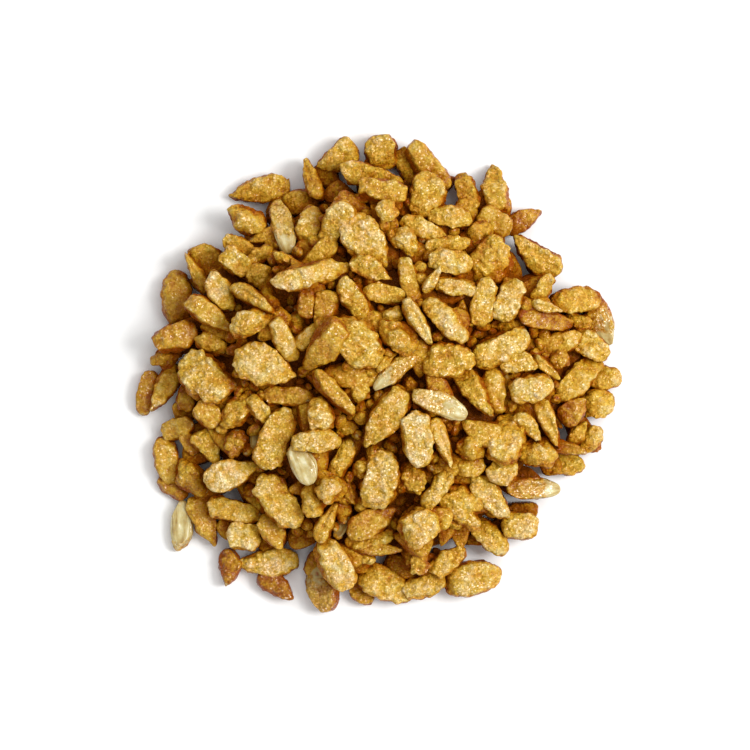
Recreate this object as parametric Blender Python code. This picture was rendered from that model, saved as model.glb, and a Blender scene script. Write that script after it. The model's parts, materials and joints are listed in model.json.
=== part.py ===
"""A loose heap of candied sunflower seeds: a low core with the seeds that show fused onto it.

The layout is in millimetres, with +X east, +Y north and +Z up. The origin is on the table,
under the middle of the heap.
"""

import math

import bmesh
import bpy
import numpy as np
from mathutils import Matrix

MM = 0.001
HEAP_NAME = "seed_heap"

# The ground that the seeds drop onto
GROUND_RADIUS = 38.0  # mm, so that the outermost seeds lie on the table
GROUND_HEIGHT = 9.0  # mm at the middle
GROUND_FULLNESS = 0.77  # 0.5 is half an ellipsoid, 1 a paraboloid

# The core: the heap's own surface, evened out and lowered, so that every seed sits in it
CORE_COVER = 1.4  # mm of seed above the core
CORE_BLUR = 6  # steps of the grid over which the surface is evened out
CORE_LEAST = 1.0  # mm at its rim
CORE_SIDES = 36
CORE_RINGS = 9
CORE_RING_POWER = 1.2  # above 1 draws the rings together at the rim

# The rule by which a seed drops onto the heap
GRID_STEP = 0.5  # mm
GRID_HALF = 62.0  # mm
CLEAR_SHARE = 0.76  # share of a seed's underside that clears what it lies on
SINK = 0.30  # mm that sugar-stuck neighbours share
TABLE_CUT = 0.25  # mm cut off the seeds that lie on the table, for a flat base
PITCHES = (-28, -18, -9, 0, 9, 18, 28)  # degrees that the tip points up
ROLLS = (-24, -12, 0, 12, 24)  # degrees about the seed's length
PITCH_COST = 0.035  # mm that a seed would rather lie higher than a degree steeper
ROLL_COST = 0.02
TOUCH = 0.8  # mm3 that a seed shares with its neighbours at least
PUSH = 0.5  # mm that a seed which touches none moves in at a time
MOST_PUSHES = 8

# The bed of seeds under those of the top layer
BED_COUNT = 200
BED_RADIUS = 41.5  # mm
BED_LENGTH = (7.5, 10.5)  # mm
BED_WIDTH = (4.2, 5.6)  # mm
BED_SHOWN = 7.5  # mm2 that must show from above, or the seed is left out as hidden
BAYS = (40, 140, 320)  # directions, in degrees, in which the heap's edge is pulled in
BAY_DEPTH = 3.5  # mm
BAY_WIDTH = 16  # degrees
GOLDEN_ANGLE = 137.508  # degrees
ANGLE_SPREAD = 3  # degrees by which a seed strays from the spiral
REACH_SPREAD = 0.6  # mm
CHANCE_SEED = 11

# Sides and rings of the few-sided seeds
LARGE = 50.0  # mm2, length times width
LARGE_SIDES = 6
SMALL_SIDES = 5
RINGS = 4

# What a seed looks like from above decides how it lies: its height over its width,
# and how much narrower its tip is than its blunt end
COATED = "coated"
NUGGET = "nugget"
EDGE = "edge"
BARE = "bare"
HALF = "half"
BROAD = "broad"
TOASTED = "toasted"
STANCES = {
    COATED: (0.74, 0.42),
    NUGGET: (0.80, 0.15),
    EDGE: (1.45, 0.40),
    BARE: (0.60, 0.45),
    HALF: (0.64, 0.45),
    BROAD: (0.62, 0.25),
    TOASTED: (0.74, 0.35),
}

# The top layer, lowest seed first:
# (east mm, north mm, degrees from east to the tip, length mm, width mm, look)
TOP_SEEDS = [
    (-42, -23, -35, 7, 3.5, COATED), (-35, 22.5, -10, 8.5, 6.5, COATED), (-41, 15, 95, 11, 6.5, COATED),
    (-37, 20, 120, 9.5, 3, EDGE), (-32, 16, -60, 9, 5, COATED), (-29, 22, -35, 7, 5, COATED),
    (-28, 25, -25, 8.5, 4, COATED), (-27, 30.5, -30, 8.5, 6, NUGGET),
    (-24.5, 36.5, -168, 12, 5.5, COATED), (-24, 23.5, 25, 5.5, 3.5, NUGGET),
    (-19.5, 22.5, -35, 5, 3, NUGGET), (-19.5, 29, -78, 12.5, 5, HALF), (-24, 19, -50, 7, 5, NUGGET),
    (-25, 14.5, -32, 11, 3.5, EDGE), (-17.5, 18.5, -170, 9.5, 5.5, COATED),
    (-11, 20, 12, 10.5, 5, COATED), (-9, 43, -153, 9, 6.5, COATED), (-14, 38.5, 108, 10, 3.5, EDGE),
    (5, 41, -68, 8.5, 4, COATED), (0, 44, -80, 7.5, 7, COATED), (9, 41, -52, 12, 5.5, COATED),
    (-2, 39, -14, 13.5, 5, COATED), (0, 36, -8, 10, 5, COATED), (9, 35, 80, 9.5, 7.5, BROAD),
    (1, 32, 90, 5, 4.5, NUGGET), (13.5, 31, -3, 9, 4.5, COATED), (-14.5, 29.5, 70, 8, 5, COATED),
    (-5.5, 31.5, -45, 10.5, 6, COATED), (-9.5, 28.5, -120, 13, 6, COATED),
    (-3, 26, -50, 12.5, 8, BROAD), (4.5, 26, -50, 7, 5, NUGGET), (8.5, 28.5, -20, 10.5, 4, COATED),
    (-2, 20.5, -28, 9, 4.5, COATED), (5.5, 18, -75, 10, 4, COATED), (13, 25.5, 5, 9, 3.5, COATED),
    (13.5, 22, -5, 9, 5, COATED), (10, 18.5, 60, 6.5, 2.5, EDGE), (-5.5, 14.5, -58, 9.5, 5, COATED),
    (17, 36, 110, 9, 4.5, COATED), (22.5, 37, 97, 11, 5.5, COATED), (28, 30.5, 30, 9, 4.5, COATED),
    (22.5, 30, -32, 7.5, 5.5, COATED), (30.5, 23.5, 140, 12, 6, COATED), (19, 27.5, 20, 7, 5, NUGGET),
    (21, 21.5, 40, 11.5, 9, BROAD), (32, 16.5, 60, 7, 3.5, COATED), (38.5, 14.5, 10, 11.5, 5.5, COATED),
    (43.5, 10.5, -68, 11, 5.5, HALF), (32.5, 10.5, -10, 12.5, 4, COATED),
    (32.5, 13, -12, 6.5, 2.5, EDGE), (39, 10, -20, 6, 4, COATED), (20, 14, 80, 10, 5, COATED),
    (25, 14.5, 65, 9, 6, COATED), (13, 15, 10, 8, 3, COATED), (14.5, 17, -10, 8.5, 4, COATED),
    (12.5, 10.5, -45, 11.5, 5, COATED), (7, 10, -60, 10.5, 3.5, EDGE), (1.5, 15.5, -10, 11, 4, COATED),
    (2, 11, 20, 5, 4, NUGGET), (-11, 13, 80, 7, 5.5, COATED), (-15, 14, 88, 7, 3.5, COATED),
    (-26, 10, 15, 8.5, 5.5, NUGGET), (-34, 11.5, -35, 11, 5, COATED), (-43, 3, 10, 7, 4.5, NUGGET),
    (-41, 7, 20, 9, 6, COATED), (-34, 6, -25, 7, 5, NUGGET), (-19.5, 6.5, -65, 9.5, 4.5, COATED),
    (-14.5, 7.5, 50, 7, 3.5, EDGE), (-28.5, 5, 15, 5, 3, NUGGET), (-39, -5, 80, 5.5, 4, COATED),
    (-47, -4, -100, 9, 4.5, COATED), (-43.5, -3, -120, 11, 5, COATED), (-35, -1, -45, 12, 9, BROAD),
    (-23, 1.5, -17, 13, 8, BROAD), (-6, -0.5, 5, 12.5, 5.5, COATED), (3, 7, -20, 9, 6.5, NUGGET),
    (1, 2.5, 45, 7, 2, EDGE), (-5, 6, -40, 12, 8.5, BROAD), (-11.5, 5, -132, 13, 6.5, COATED),
    (2.5, 0.5, -138, 11.5, 4, HALF), (13, 2.5, 3, 11, 7, BROAD), (25, 9.5, 0, 7, 3.5, NUGGET),
    (23.5, 5, 25, 12.5, 6.5, COATED), (27.5, 2, -10, 8, 5.5, COATED), (41.5, 5.5, -35, 9, 5.5, COATED),
    (34.5, 5.5, 25, 11, 5, COATED), (35, 2.5, 50, 5, 4, NUGGET), (32.5, 1, -40, 7, 2.5, EDGE),
    (44.5, -1, -5, 7, 5, COATED), (39, -1, 45, 12.5, 6, COATED), (43, -6, 15, 7, 6.5, COATED),
    (38, -7.5, 50, 7, 5, COATED), (33, -10, -65, 11, 4, EDGE), (41.5, -13.5, 50, 6.5, 5.5, NUGGET),
    (39, -12, 55, 5.5, 3.5, COATED), (37, -18, -10, 7, 5, COATED), (37, -15, -10, 8, 3, EDGE),
    (30.5, -16, 20, 8, 7, NUGGET), (30, -23, 0, 12, 4.5, HALF), (27.5, -30.5, 0, 7.5, 6, COATED),
    (21.5, -24.5, -48, 11, 5, COATED), (21.5, -32.5, -42, 9.5, 5, COATED),
    (24, -19, 60, 6.5, 6, COATED), (17.5, -18.5, 15, 6, 4.5, COATED), (17.5, -15, 10, 6, 5, NUGGET),
    (29, -10.5, -50, 7.5, 4, COATED), (24.5, -13, 70, 11, 7.5, BROAD), (29.5, -3, 10, 9, 6, COATED),
    (22, -3.5, 95, 9, 5, COATED), (11.5, -6, -25, 12, 5, HALF), (18.5, -4, -55, 12, 5, COATED),
    (12, -14, -70, 11, 3.5, EDGE), (7, -13, -80, 11, 6.5, COATED), (0.5, -9, -125, 13.5, 7, COATED),
    (-5, -4, 30, 6, 4.5, NUGGET), (-9.5, -4, -45, 12, 3.5, EDGE), (-12, -8, 90, 7, 6, NUGGET),
    (-7, -11, 10, 5, 3, NUGGET), (-15.5, -18, -70, 9, 5.5, BARE), (-13, -13.5, 5, 10, 5, COATED),
    (-8, -17.5, 65, 9, 4, COATED), (-6.5, -23, -70, 7, 3.5, NUGGET), (-4, -19, 40, 4, 3.5, NUGGET),
    (-0.5, -21, 75, 12, 8, BROAD), (6, -20.5, -70, 7, 5, NUGGET), (16, -26, -30, 10.5, 8, BROAD),
    (11, -23, 55, 10, 4, COATED), (7.5, -30.5, 30, 8.5, 7, BROAD), (-1, -35, -5, 10, 3, EDGE),
    (-2.5, -33, 10, 10, 3.5, COATED), (-2, -29.5, 30, 11, 5.5, COATED), (-3, -37, 10, 3.5, 2.5, NUGGET),
    (-21.5, -31.5, -60, 8, 5, COATED), (-20.5, -25.5, -50, 12.5, 7, BROAD),
    (-30, -20, 20, 11, 6, COATED), (-35.5, -29.5, -65, 11, 5, COATED),
    (-29.5, -27.5, -12, 11, 5, COATED), (-38, -21, -60, 9, 6.5, NUGGET),
    (-43, -17.5, -80, 10, 5, COATED), (-38.5, -14, -60, 5.5, 3, COATED),
    (-40.5, -11, 20, 7.5, 4.5, COATED), (-34.5, -15, -60, 8.5, 5, COATED), (-29, -14, 90, 6, 5, NUGGET),
    (-25, -13.5, 90, 5, 3, BARE), (-21, -13, 70, 13, 7, COATED), (-28.5, -7.5, 60, 9, 5.5, NUGGET),
    (-34.5, -8, -50, 6, 5, COATED), (-18.5, -4.5, 0, 10, 4, COATED), (-24.5, -7, -50, 6.5, 3.5, COATED),
    (-40, -30.5, 88, 10.5, 5, BARE), (-27.5, -32.5, 0, 7, 6, COATED),
    (-30.5, -39, -100, 7.5, 5, TOASTED), (-21, -42.5, -40, 8.5, 5, TOASTED),
    (-23, -38, -175, 13, 5.5, COATED), (-12, -42.5, 98, 11, 6.5, HALF),
    (-9.5, -38, -60, 11.5, 6.5, COATED), (-11, -29.5, 65, 9, 3.5, EDGE), (-8, -30.5, 60, 5.5, 3, BARE),
    (-4, -44, -40, 6, 4, COATED), (0.5, -42, -25, 13, 6.5, COATED), (8.5, -42.5, 20, 9, 5, COATED),
    (7.5, -37.5, 70, 5, 4, NUGGET), (13, -37.5, 35, 9, 4.5, COATED), (18, -41, 10, 12, 7, COATED),
    (-14, -25, -70, 7.5, 5, NUGGET), (-10.5, -23, 60, 6, 5, NUGGET),
]


def turn_matrix(heading, pitch, roll):
    """The turn that takes a seed's own axes (tip, side, up) to the heap's."""
    return (
        Matrix.Rotation(math.radians(heading), 3, "Z")
        @ Matrix.Rotation(math.radians(-pitch), 3, "Y")
        @ Matrix.Rotation(math.radians(roll), 3, "X")
    )


def ground_height(reach):
    """The height of the ground's dome at a distance from its middle, in mm."""
    return GROUND_HEIGHT * np.clip(1 - (reach / GROUND_RADIUS) ** 2, 0, None) ** GROUND_FULLNESS


def skins(turn, half_sizes, east, north):
    """Lowest and highest surface of an ellipsoid, over places measured from its middle.

    Both are NaN where the ellipsoid isn't.
    """
    axes = np.array(turn)
    form = axes @ np.diag(1 / np.square(half_sizes)) @ axes.T
    lean = form[0, 2] * east + form[1, 2] * north
    across = form[0, 0] * east**2 + 2 * form[0, 1] * east * north + form[1, 1] * north**2
    inside = lean**2 - form[2, 2] * (across - 1)
    root = np.sqrt(np.where(inside > 0, inside, np.nan))
    return (-lean - root) / form[2, 2], (-lean + root) / form[2, 2]


class Heap:
    """The heap's surface while it grows: a grid of heights, and the number of the seed on top."""

    def __init__(self):
        steps = np.arange(-GRID_HALF, GRID_HALF, GRID_STEP)
        self.east, self.north = np.meshgrid(steps, steps, indexing="ij")
        self.height = ground_height(np.hypot(self.east, self.north))
        self.top_seed = np.full(self.height.shape, -1)

    def window(self, east, north, reach):
        """The part of the grid that is within reach of a place."""
        first_east = int((east - reach + GRID_HALF) / GRID_STEP)
        first_north = int((north - reach + GRID_HALF) / GRID_STEP)
        cells = int(2 * reach / GRID_STEP) + 2
        return np.s_[first_east : first_east + cells, first_north : first_north + cells]

    def settle(self, east, north, heading, half_sizes):
        """How a seed comes to lie over a place: the lowest and most level of its ways to lie."""
        window = self.window(east, north, max(half_sizes))
        ground = self.height[window]
        places = (self.east[window] - east, self.north[window] - north)
        choices = []
        for pitch in PITCHES:
            for roll in ROLLS:
                turn = turn_matrix(heading, pitch, roll)
                low, high = skins(turn, half_sizes, *places)
                lifts = (ground - low)[~np.isnan(low)]
                middle = np.quantile(lifts, CLEAR_SHARE) - SINK
                middle = max(middle, -np.nanmin(low) - TABLE_CUT)
                cost = middle + PITCH_COST * abs(pitch) + ROLL_COST * abs(roll)
                choices.append((cost, len(choices), middle, turn, low, high))
        _, _, middle, turn, low, high = min(choices)
        shared = np.where(ground > 0, ground - low - middle, 0)
        overlap = np.nansum(np.clip(shared, 0, None)) * GRID_STEP**2
        return window, middle, turn, high + middle, overlap

    def drop(self, number, east, north, heading, size):
        """Adds a seed and returns its middle and turn. One that touches nothing is pushed in first."""
        half_sizes = [0.5 * side for side in size]
        lies = self.settle(east, north, heading, half_sizes)
        for _ in range(MOST_PUSHES):
            if number >= BED_COUNT or lies[-1] >= TOUCH:
                break
            reach = math.hypot(east, north)
            east -= PUSH * east / reach
            north -= PUSH * north / reach
            lies = self.settle(east, north, heading, half_sizes)
        window, middle, turn, surface, _ = lies
        above = surface > self.height[window]
        self.height[window] = np.where(above, surface, self.height[window])
        self.top_seed[window] = np.where(above, number, self.top_seed[window])
        return (east, north, middle), turn


def edge_of_bed(angle):
    """How far the bed reaches in a direction, in mm."""
    reach = BED_RADIUS
    for bay in BAYS:
        away = (angle - bay + 180) % 360 - 180
        reach -= BAY_DEPTH * math.exp(-((away / BAY_WIDTH) ** 2))
    return reach


def bed_seeds():
    """The seeds under the top layer, spread evenly along a golden spiral, outermost first."""
    chance = np.random.default_rng(CHANCE_SEED)
    for number in reversed(range(BED_COUNT)):
        angle = number * GOLDEN_ANGLE + chance.normal(0, ANGLE_SPREAD)
        reach = edge_of_bed(angle) * math.sqrt((number + 0.5) / BED_COUNT)
        reach += chance.normal(0, REACH_SPREAD)
        east = reach * math.cos(math.radians(angle))
        north = reach * math.sin(math.radians(angle))
        heading = chance.uniform(0, 360)
        yield east, north, heading, chance.uniform(*BED_LENGTH), chance.uniform(*BED_WIDTH), COATED


def lay_seeds():
    """The seeds that show, as (look, size, middle, turn), and the heap's surface."""
    heap = Heap()
    laid = []
    for east, north, heading, length, width, look in [*bed_seeds(), *TOP_SEEDS]:
        size = (length, width, STANCES[look][0] * width)
        middle, turn = heap.drop(len(laid), east, north, heading, size)
        laid.append((look, size, middle, turn))
    shown = np.bincount(heap.top_seed[heap.top_seed >= 0], minlength=len(laid)) * GRID_STEP**2
    bed = [seed for seed, area in zip(laid[:BED_COUNT], shown) if area > BED_SHOWN]
    return bed + laid[BED_COUNT:], heap.height


def evened_out(height):
    """A grid of heights, averaged along both its directions."""
    shifts = range(-CORE_BLUR, CORE_BLUR + 1)
    for axis in (0, 1):
        height = sum(np.roll(height, shift, axis) for shift in shifts) / len(shifts)
    return height


def seed_object(name, look, size, middle, turn):
    """One few-sided seed where it lies."""
    sides = LARGE_SIDES if size[0] * size[1] > LARGE else SMALL_SIDES
    taper = STANCES[look][1]
    along = np.linspace(-1, 1, 101)
    widest = (np.sqrt(1 - along**2) * (1 - taper * along)).max()
    # A ring of few corners is made wider, so that it holds as much as the round one.
    wider = math.sqrt(2 * math.pi / (sides * math.sin(2 * math.pi / sides)))
    half_length, half_width, half_height = (0.5 * MM * side for side in size)
    shape = bmesh.new()
    bmesh.ops.create_uvsphere(shape, u_segments=sides, v_segments=RINGS, radius=1)
    for vertex in shape.verts:
        across, up, along = vertex.co  # the sphere's poles become the seed's two ends
        girth = wider * (1 - taper * along) / widest
        vertex.co = (half_length * along, half_width * across * girth, half_height * up * girth)
    place = Matrix.Translation([MM * part for part in middle]) @ turn.to_4x4()
    bmesh.ops.transform(shape, matrix=place, verts=shape.verts)
    bmesh.ops.recalc_face_normals(shape, faces=shape.faces)
    return object_of(shape, name)


def core_object(heap_height):
    """The core: rings that close in to a crown, from a base just below the table."""
    height_at = np.clip(evened_out(heap_height) - CORE_COVER, CORE_LEAST, None)
    shape = bmesh.new()
    rings = []
    for ring in range(-1, CORE_RINGS):
        share = 1 - (max(ring, 0) / CORE_RINGS) ** CORE_RING_POWER
        row = []
        for side in range(CORE_SIDES):
            angle = side * 360 / CORE_SIDES
            east = share * edge_of_bed(angle) * math.cos(math.radians(angle))
            north = share * edge_of_bed(angle) * math.sin(math.radians(angle))
            cell = int((east + GRID_HALF) / GRID_STEP), int((north + GRID_HALF) / GRID_STEP)
            height = -2 * TABLE_CUT if ring < 0 else height_at[cell]
            row.append(shape.verts.new((MM * east, MM * north, MM * height)))
        rings.append(row)
    shape.faces.new(rings[0])
    for lower, upper in zip(rings, rings[1:]):
        for side in range(CORE_SIDES):
            shape.faces.new((lower[side - 1], lower[side], upper[side], upper[side - 1]))
    shape.faces.new(rings[-1])
    bmesh.ops.recalc_face_normals(shape, faces=shape.faces)
    return object_of(shape, HEAP_NAME)


def object_of(shape, name):
    mesh = bpy.data.meshes.new(name)
    shape.to_mesh(mesh)
    shape.free()
    return bpy.data.objects.new(name, mesh)


def collection_of(name, objects):
    collection = bpy.data.collections.new(name)
    bpy.context.scene.collection.children.link(collection)
    for obj in objects:
        collection.objects.link(obj)
    return collection


def shell_from(vertex):
    """The vertices that are joined to one by edges."""
    shell = {vertex}
    edge_of_shell = [vertex]
    while edge_of_shell:
        for edge in edge_of_shell.pop().link_edges:
            for other in set(edge.verts) - shell:
                shell.add(other)
                edge_of_shell.append(other)
    return shell


def keep_outer_shell(mesh):
    """Fills the sealed hollows that fusing left, by removing every shell but the largest."""
    shape = bmesh.new()
    shape.from_mesh(mesh)
    left = set(shape.verts)
    outer = set()
    while left:
        shell = shell_from(next(iter(left)))
        left -= shell
        outer = max(outer, shell, key=len)
    bmesh.ops.delete(shape, geom=[v for v in shape.verts if v not in outer], context="VERTS")
    shape.to_mesh(mesh)
    shape.free()


def fuse(core, seeds):
    """Joins the seeds to the core, applies the union and removes the seeds."""
    union = core.modifiers.new("fuse_seeds", "BOOLEAN")
    union.operation = "UNION"
    union.solver = "MANIFOLD"
    union.operand_type = "COLLECTION"
    union.collection = seeds
    evaluated = core.evaluated_get(bpy.context.evaluated_depsgraph_get())
    core.data = bpy.data.meshes.new_from_object(evaluated)
    core.modifiers.remove(union)
    for seed in list(seeds.objects):
        bpy.data.objects.remove(seed)
    bpy.data.collections.remove(seeds)
    keep_outer_shell(core.data)


def table_block():
    """The cutter that gives the heap its flat base."""
    side = 2 * GRID_HALF * MM
    bpy.ops.mesh.primitive_cube_add(size=side, location=(0, 0, -side / 2))
    block = bpy.context.object
    block.name = "table_block"
    block.hide_render = True
    block.display_type = "WIRE"
    bpy.context.collection.objects.unlink(block)
    return block


def crust_material():
    material = bpy.data.materials.new("golden_sugar_crust")
    material.use_nodes = True
    shader = material.node_tree.nodes["Principled BSDF"]
    shader.inputs["Base Color"].default_value = (0.53, 0.29, 0.06, 1)
    shader.inputs["Roughness"].default_value = 0.55
    shader.inputs["Metallic"].default_value = 0.0
    return material


def main():
    for obj in list(bpy.data.objects):
        bpy.data.objects.remove(obj)
    laid, heap_height = lay_seeds()
    core = core_object(heap_height)
    core.data.materials.append(crust_material())
    collection_of("candied_sunflower_seeds", [core])
    seeds = [seed_object(f"seed_{number}", *seed) for number, seed in enumerate(laid)]
    fuse(core, collection_of("seeds", seeds))
    block = table_block()
    collection_of("cutters", [block])
    cut = core.modifiers.new("flat_base", "BOOLEAN")
    cut.operation = "DIFFERENCE"
    cut.object = block


if __name__ == "__main__":
    main()
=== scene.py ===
"""Looks of a loose heap of candied sunflower seeds.

The seeds are dropped in place by the same rule, and from the same places, as the heap's solid.
The layout is in millimetres, with +X east, +Y north and +Z up; meshes are in metres.
"""

import json
import math
from collections import namedtuple

import bmesh
import bpy
import numpy as np
from mathutils import Matrix, Vector

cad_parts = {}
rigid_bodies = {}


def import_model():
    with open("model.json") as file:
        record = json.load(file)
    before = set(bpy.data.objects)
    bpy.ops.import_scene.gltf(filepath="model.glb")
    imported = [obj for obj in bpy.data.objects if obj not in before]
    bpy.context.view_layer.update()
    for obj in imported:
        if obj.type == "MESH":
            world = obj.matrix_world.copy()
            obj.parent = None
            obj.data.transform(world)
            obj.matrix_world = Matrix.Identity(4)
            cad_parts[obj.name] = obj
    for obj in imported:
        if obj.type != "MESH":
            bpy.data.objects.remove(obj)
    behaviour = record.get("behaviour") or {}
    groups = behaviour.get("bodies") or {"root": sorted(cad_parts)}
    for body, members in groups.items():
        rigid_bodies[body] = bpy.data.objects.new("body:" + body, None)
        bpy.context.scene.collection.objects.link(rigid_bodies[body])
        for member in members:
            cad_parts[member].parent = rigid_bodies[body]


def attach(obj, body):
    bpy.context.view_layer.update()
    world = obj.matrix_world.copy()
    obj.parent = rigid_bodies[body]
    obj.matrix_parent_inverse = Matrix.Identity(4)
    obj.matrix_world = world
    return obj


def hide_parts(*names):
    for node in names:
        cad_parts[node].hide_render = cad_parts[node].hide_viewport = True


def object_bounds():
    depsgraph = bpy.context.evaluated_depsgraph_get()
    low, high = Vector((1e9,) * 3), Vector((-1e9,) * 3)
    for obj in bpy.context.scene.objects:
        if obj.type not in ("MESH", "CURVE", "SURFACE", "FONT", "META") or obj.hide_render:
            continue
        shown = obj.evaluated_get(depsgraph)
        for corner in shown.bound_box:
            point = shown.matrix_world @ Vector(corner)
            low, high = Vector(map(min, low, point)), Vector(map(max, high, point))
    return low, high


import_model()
cad_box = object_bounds()

MM = 0.001
HEAP_NODE = "seed_heap"

# ---- the camera

VIEW_CENTRE = (-1.4, -0.4, 2.0)  # mm, what the photograph's middle looks at
VIEW_WIDTH = 150.0  # mm across the photograph at that height
CAMERA_HEIGHT = 900.0  # mm
CAMERA_REACH = 20.0  # m, the farthest that it sees
SENSOR_WIDTH = 36.0  # mm

# ---- the layout's rule

GROUND_RADIUS = 38.0  # mm, so that the outermost seeds lie on the table
GROUND_HEIGHT = 9.0  # mm at the middle
GROUND_FULLNESS = 0.77  # 0.5 is half an ellipsoid, 1 a paraboloid
GRID_STEP = 0.5  # mm
GRID_HALF = 62.0  # mm
CLEAR_SHARE = 0.76  # share of a seed's underside that clears what it lies on
SINK = 0.30  # mm that sugar-stuck neighbours share
TABLE_CUT = 0.25  # mm by which seeds that lie on the table are flattened
PITCHES = (-28, -18, -9, 0, 9, 18, 28)  # degrees that the tip points up
ROLLS = (-24, -12, 0, 12, 24)  # degrees about the seed's length
PITCH_COST = 0.035  # mm that a seed would rather lie higher than a degree steeper
ROLL_COST = 0.02  # mm, the same for a degree of roll
TOUCH = 0.8  # mm3 that a seed of the bed shares with its neighbours at least
PUSH = 0.5  # mm that a seed which touches none moves in at a time
MOST_PUSHES = 8
BLUR_STEPS = 6  # steps of the grid, either way, over which a surface is evened out

BED_COUNT = 200
BED_RADIUS = 41.5  # mm
BED_LENGTH = (7.5, 10.5)  # mm
BED_WIDTH = (4.2, 5.6)  # mm
BAYS = (40, 140, 320)  # directions, in degrees, in which the heap's edge is pulled in
BAY_DEPTH = 3.5  # mm
BAY_WIDTH = 16  # degrees
GOLDEN_ANGLE = 137.508  # degrees
ANGLE_SPREAD = 3  # degrees by which a seed strays from the spiral
REACH_SPREAD = 0.6  # mm
CHANCE_SEED = 11
CRUMB_PLACES = 900  # where a crumb lies if there is a gap
CRUMB_MARGIN = 5.0  # mm without crumbs inside the bed's edge
CRUMB_LENGTH = (2.0, 4.0)  # mm
CRUMB_WIDTH = 0.8  # of its length
CRUMB_RISE = 0.1  # how far a crumb's middle is above what it lies on, of its length
CRUMB_LOWEST = 0.3  # how far its middle is above the table at least, of its length
GAP_DEPTH = 1.2  # mm under the heap's evened-out surface

# ---- the kinds of seed

# oval: with two blunt ends, not a drop, or a nugget with fewer knobs. height: over the width, as it
# lies. tone: from 0, dark caramel, to 1, pale sugar. bare: the share of its length, from the tip,
# that has no sugar on it.
Look = namedtuple("Look", "piece oval height tone bare", defaults=[0.0])


def drop_and_oval(piece, height, tone):
    """The same look with one blunt end and with two."""
    return Look(piece, False, height, tone), Look(piece, True, height, tone)


GOLDEN, GOLDEN_OVAL = drop_and_oval("golden_seeds", 0.74, 0.52)
SUGARED, SUGARED_OVAL = drop_and_oval("sugared_seeds", 0.74, 0.51)
AMBER, AMBER_OVAL = drop_and_oval("amber_seeds", 0.74, 0.32)
OCHRE, OCHRE_OVAL = drop_and_oval("amber_seeds", 0.74, 0.42)
BROAD, BROAD_OVAL = drop_and_oval("broad_seeds", 0.62, 0.51)
PALE_BROAD, PALE_BROAD_OVAL = drop_and_oval("broad_seeds", 0.62, 0.52)
TOASTED = Look("amber_seeds", False, 0.74, 0.08)
NUGGET = Look("seed_nuggets", False, 0.80, 0.48)
PALE_NUGGET = Look("seed_nuggets", False, 0.80, 0.51)
AMBER_NUGGET = Look("seed_nuggets", True, 0.80, 0.32)
EDGE = Look("seeds_on_edge", False, 1.45, 0.50)
AMBER_EDGE = Look("seeds_on_edge", False, 1.45, 0.34)
BARE = Look("bare_kernels", True, 0.60, 0.56, bare=0.82)
HALF = Look("bare_kernels", True, 0.64, 0.46, bare=0.38)
CLUMP = Look("seed_clumps", False, 0.62, 0.51)
CRUMB = Look("sugar_crumbs", False, 0.875, 0.44)

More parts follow.
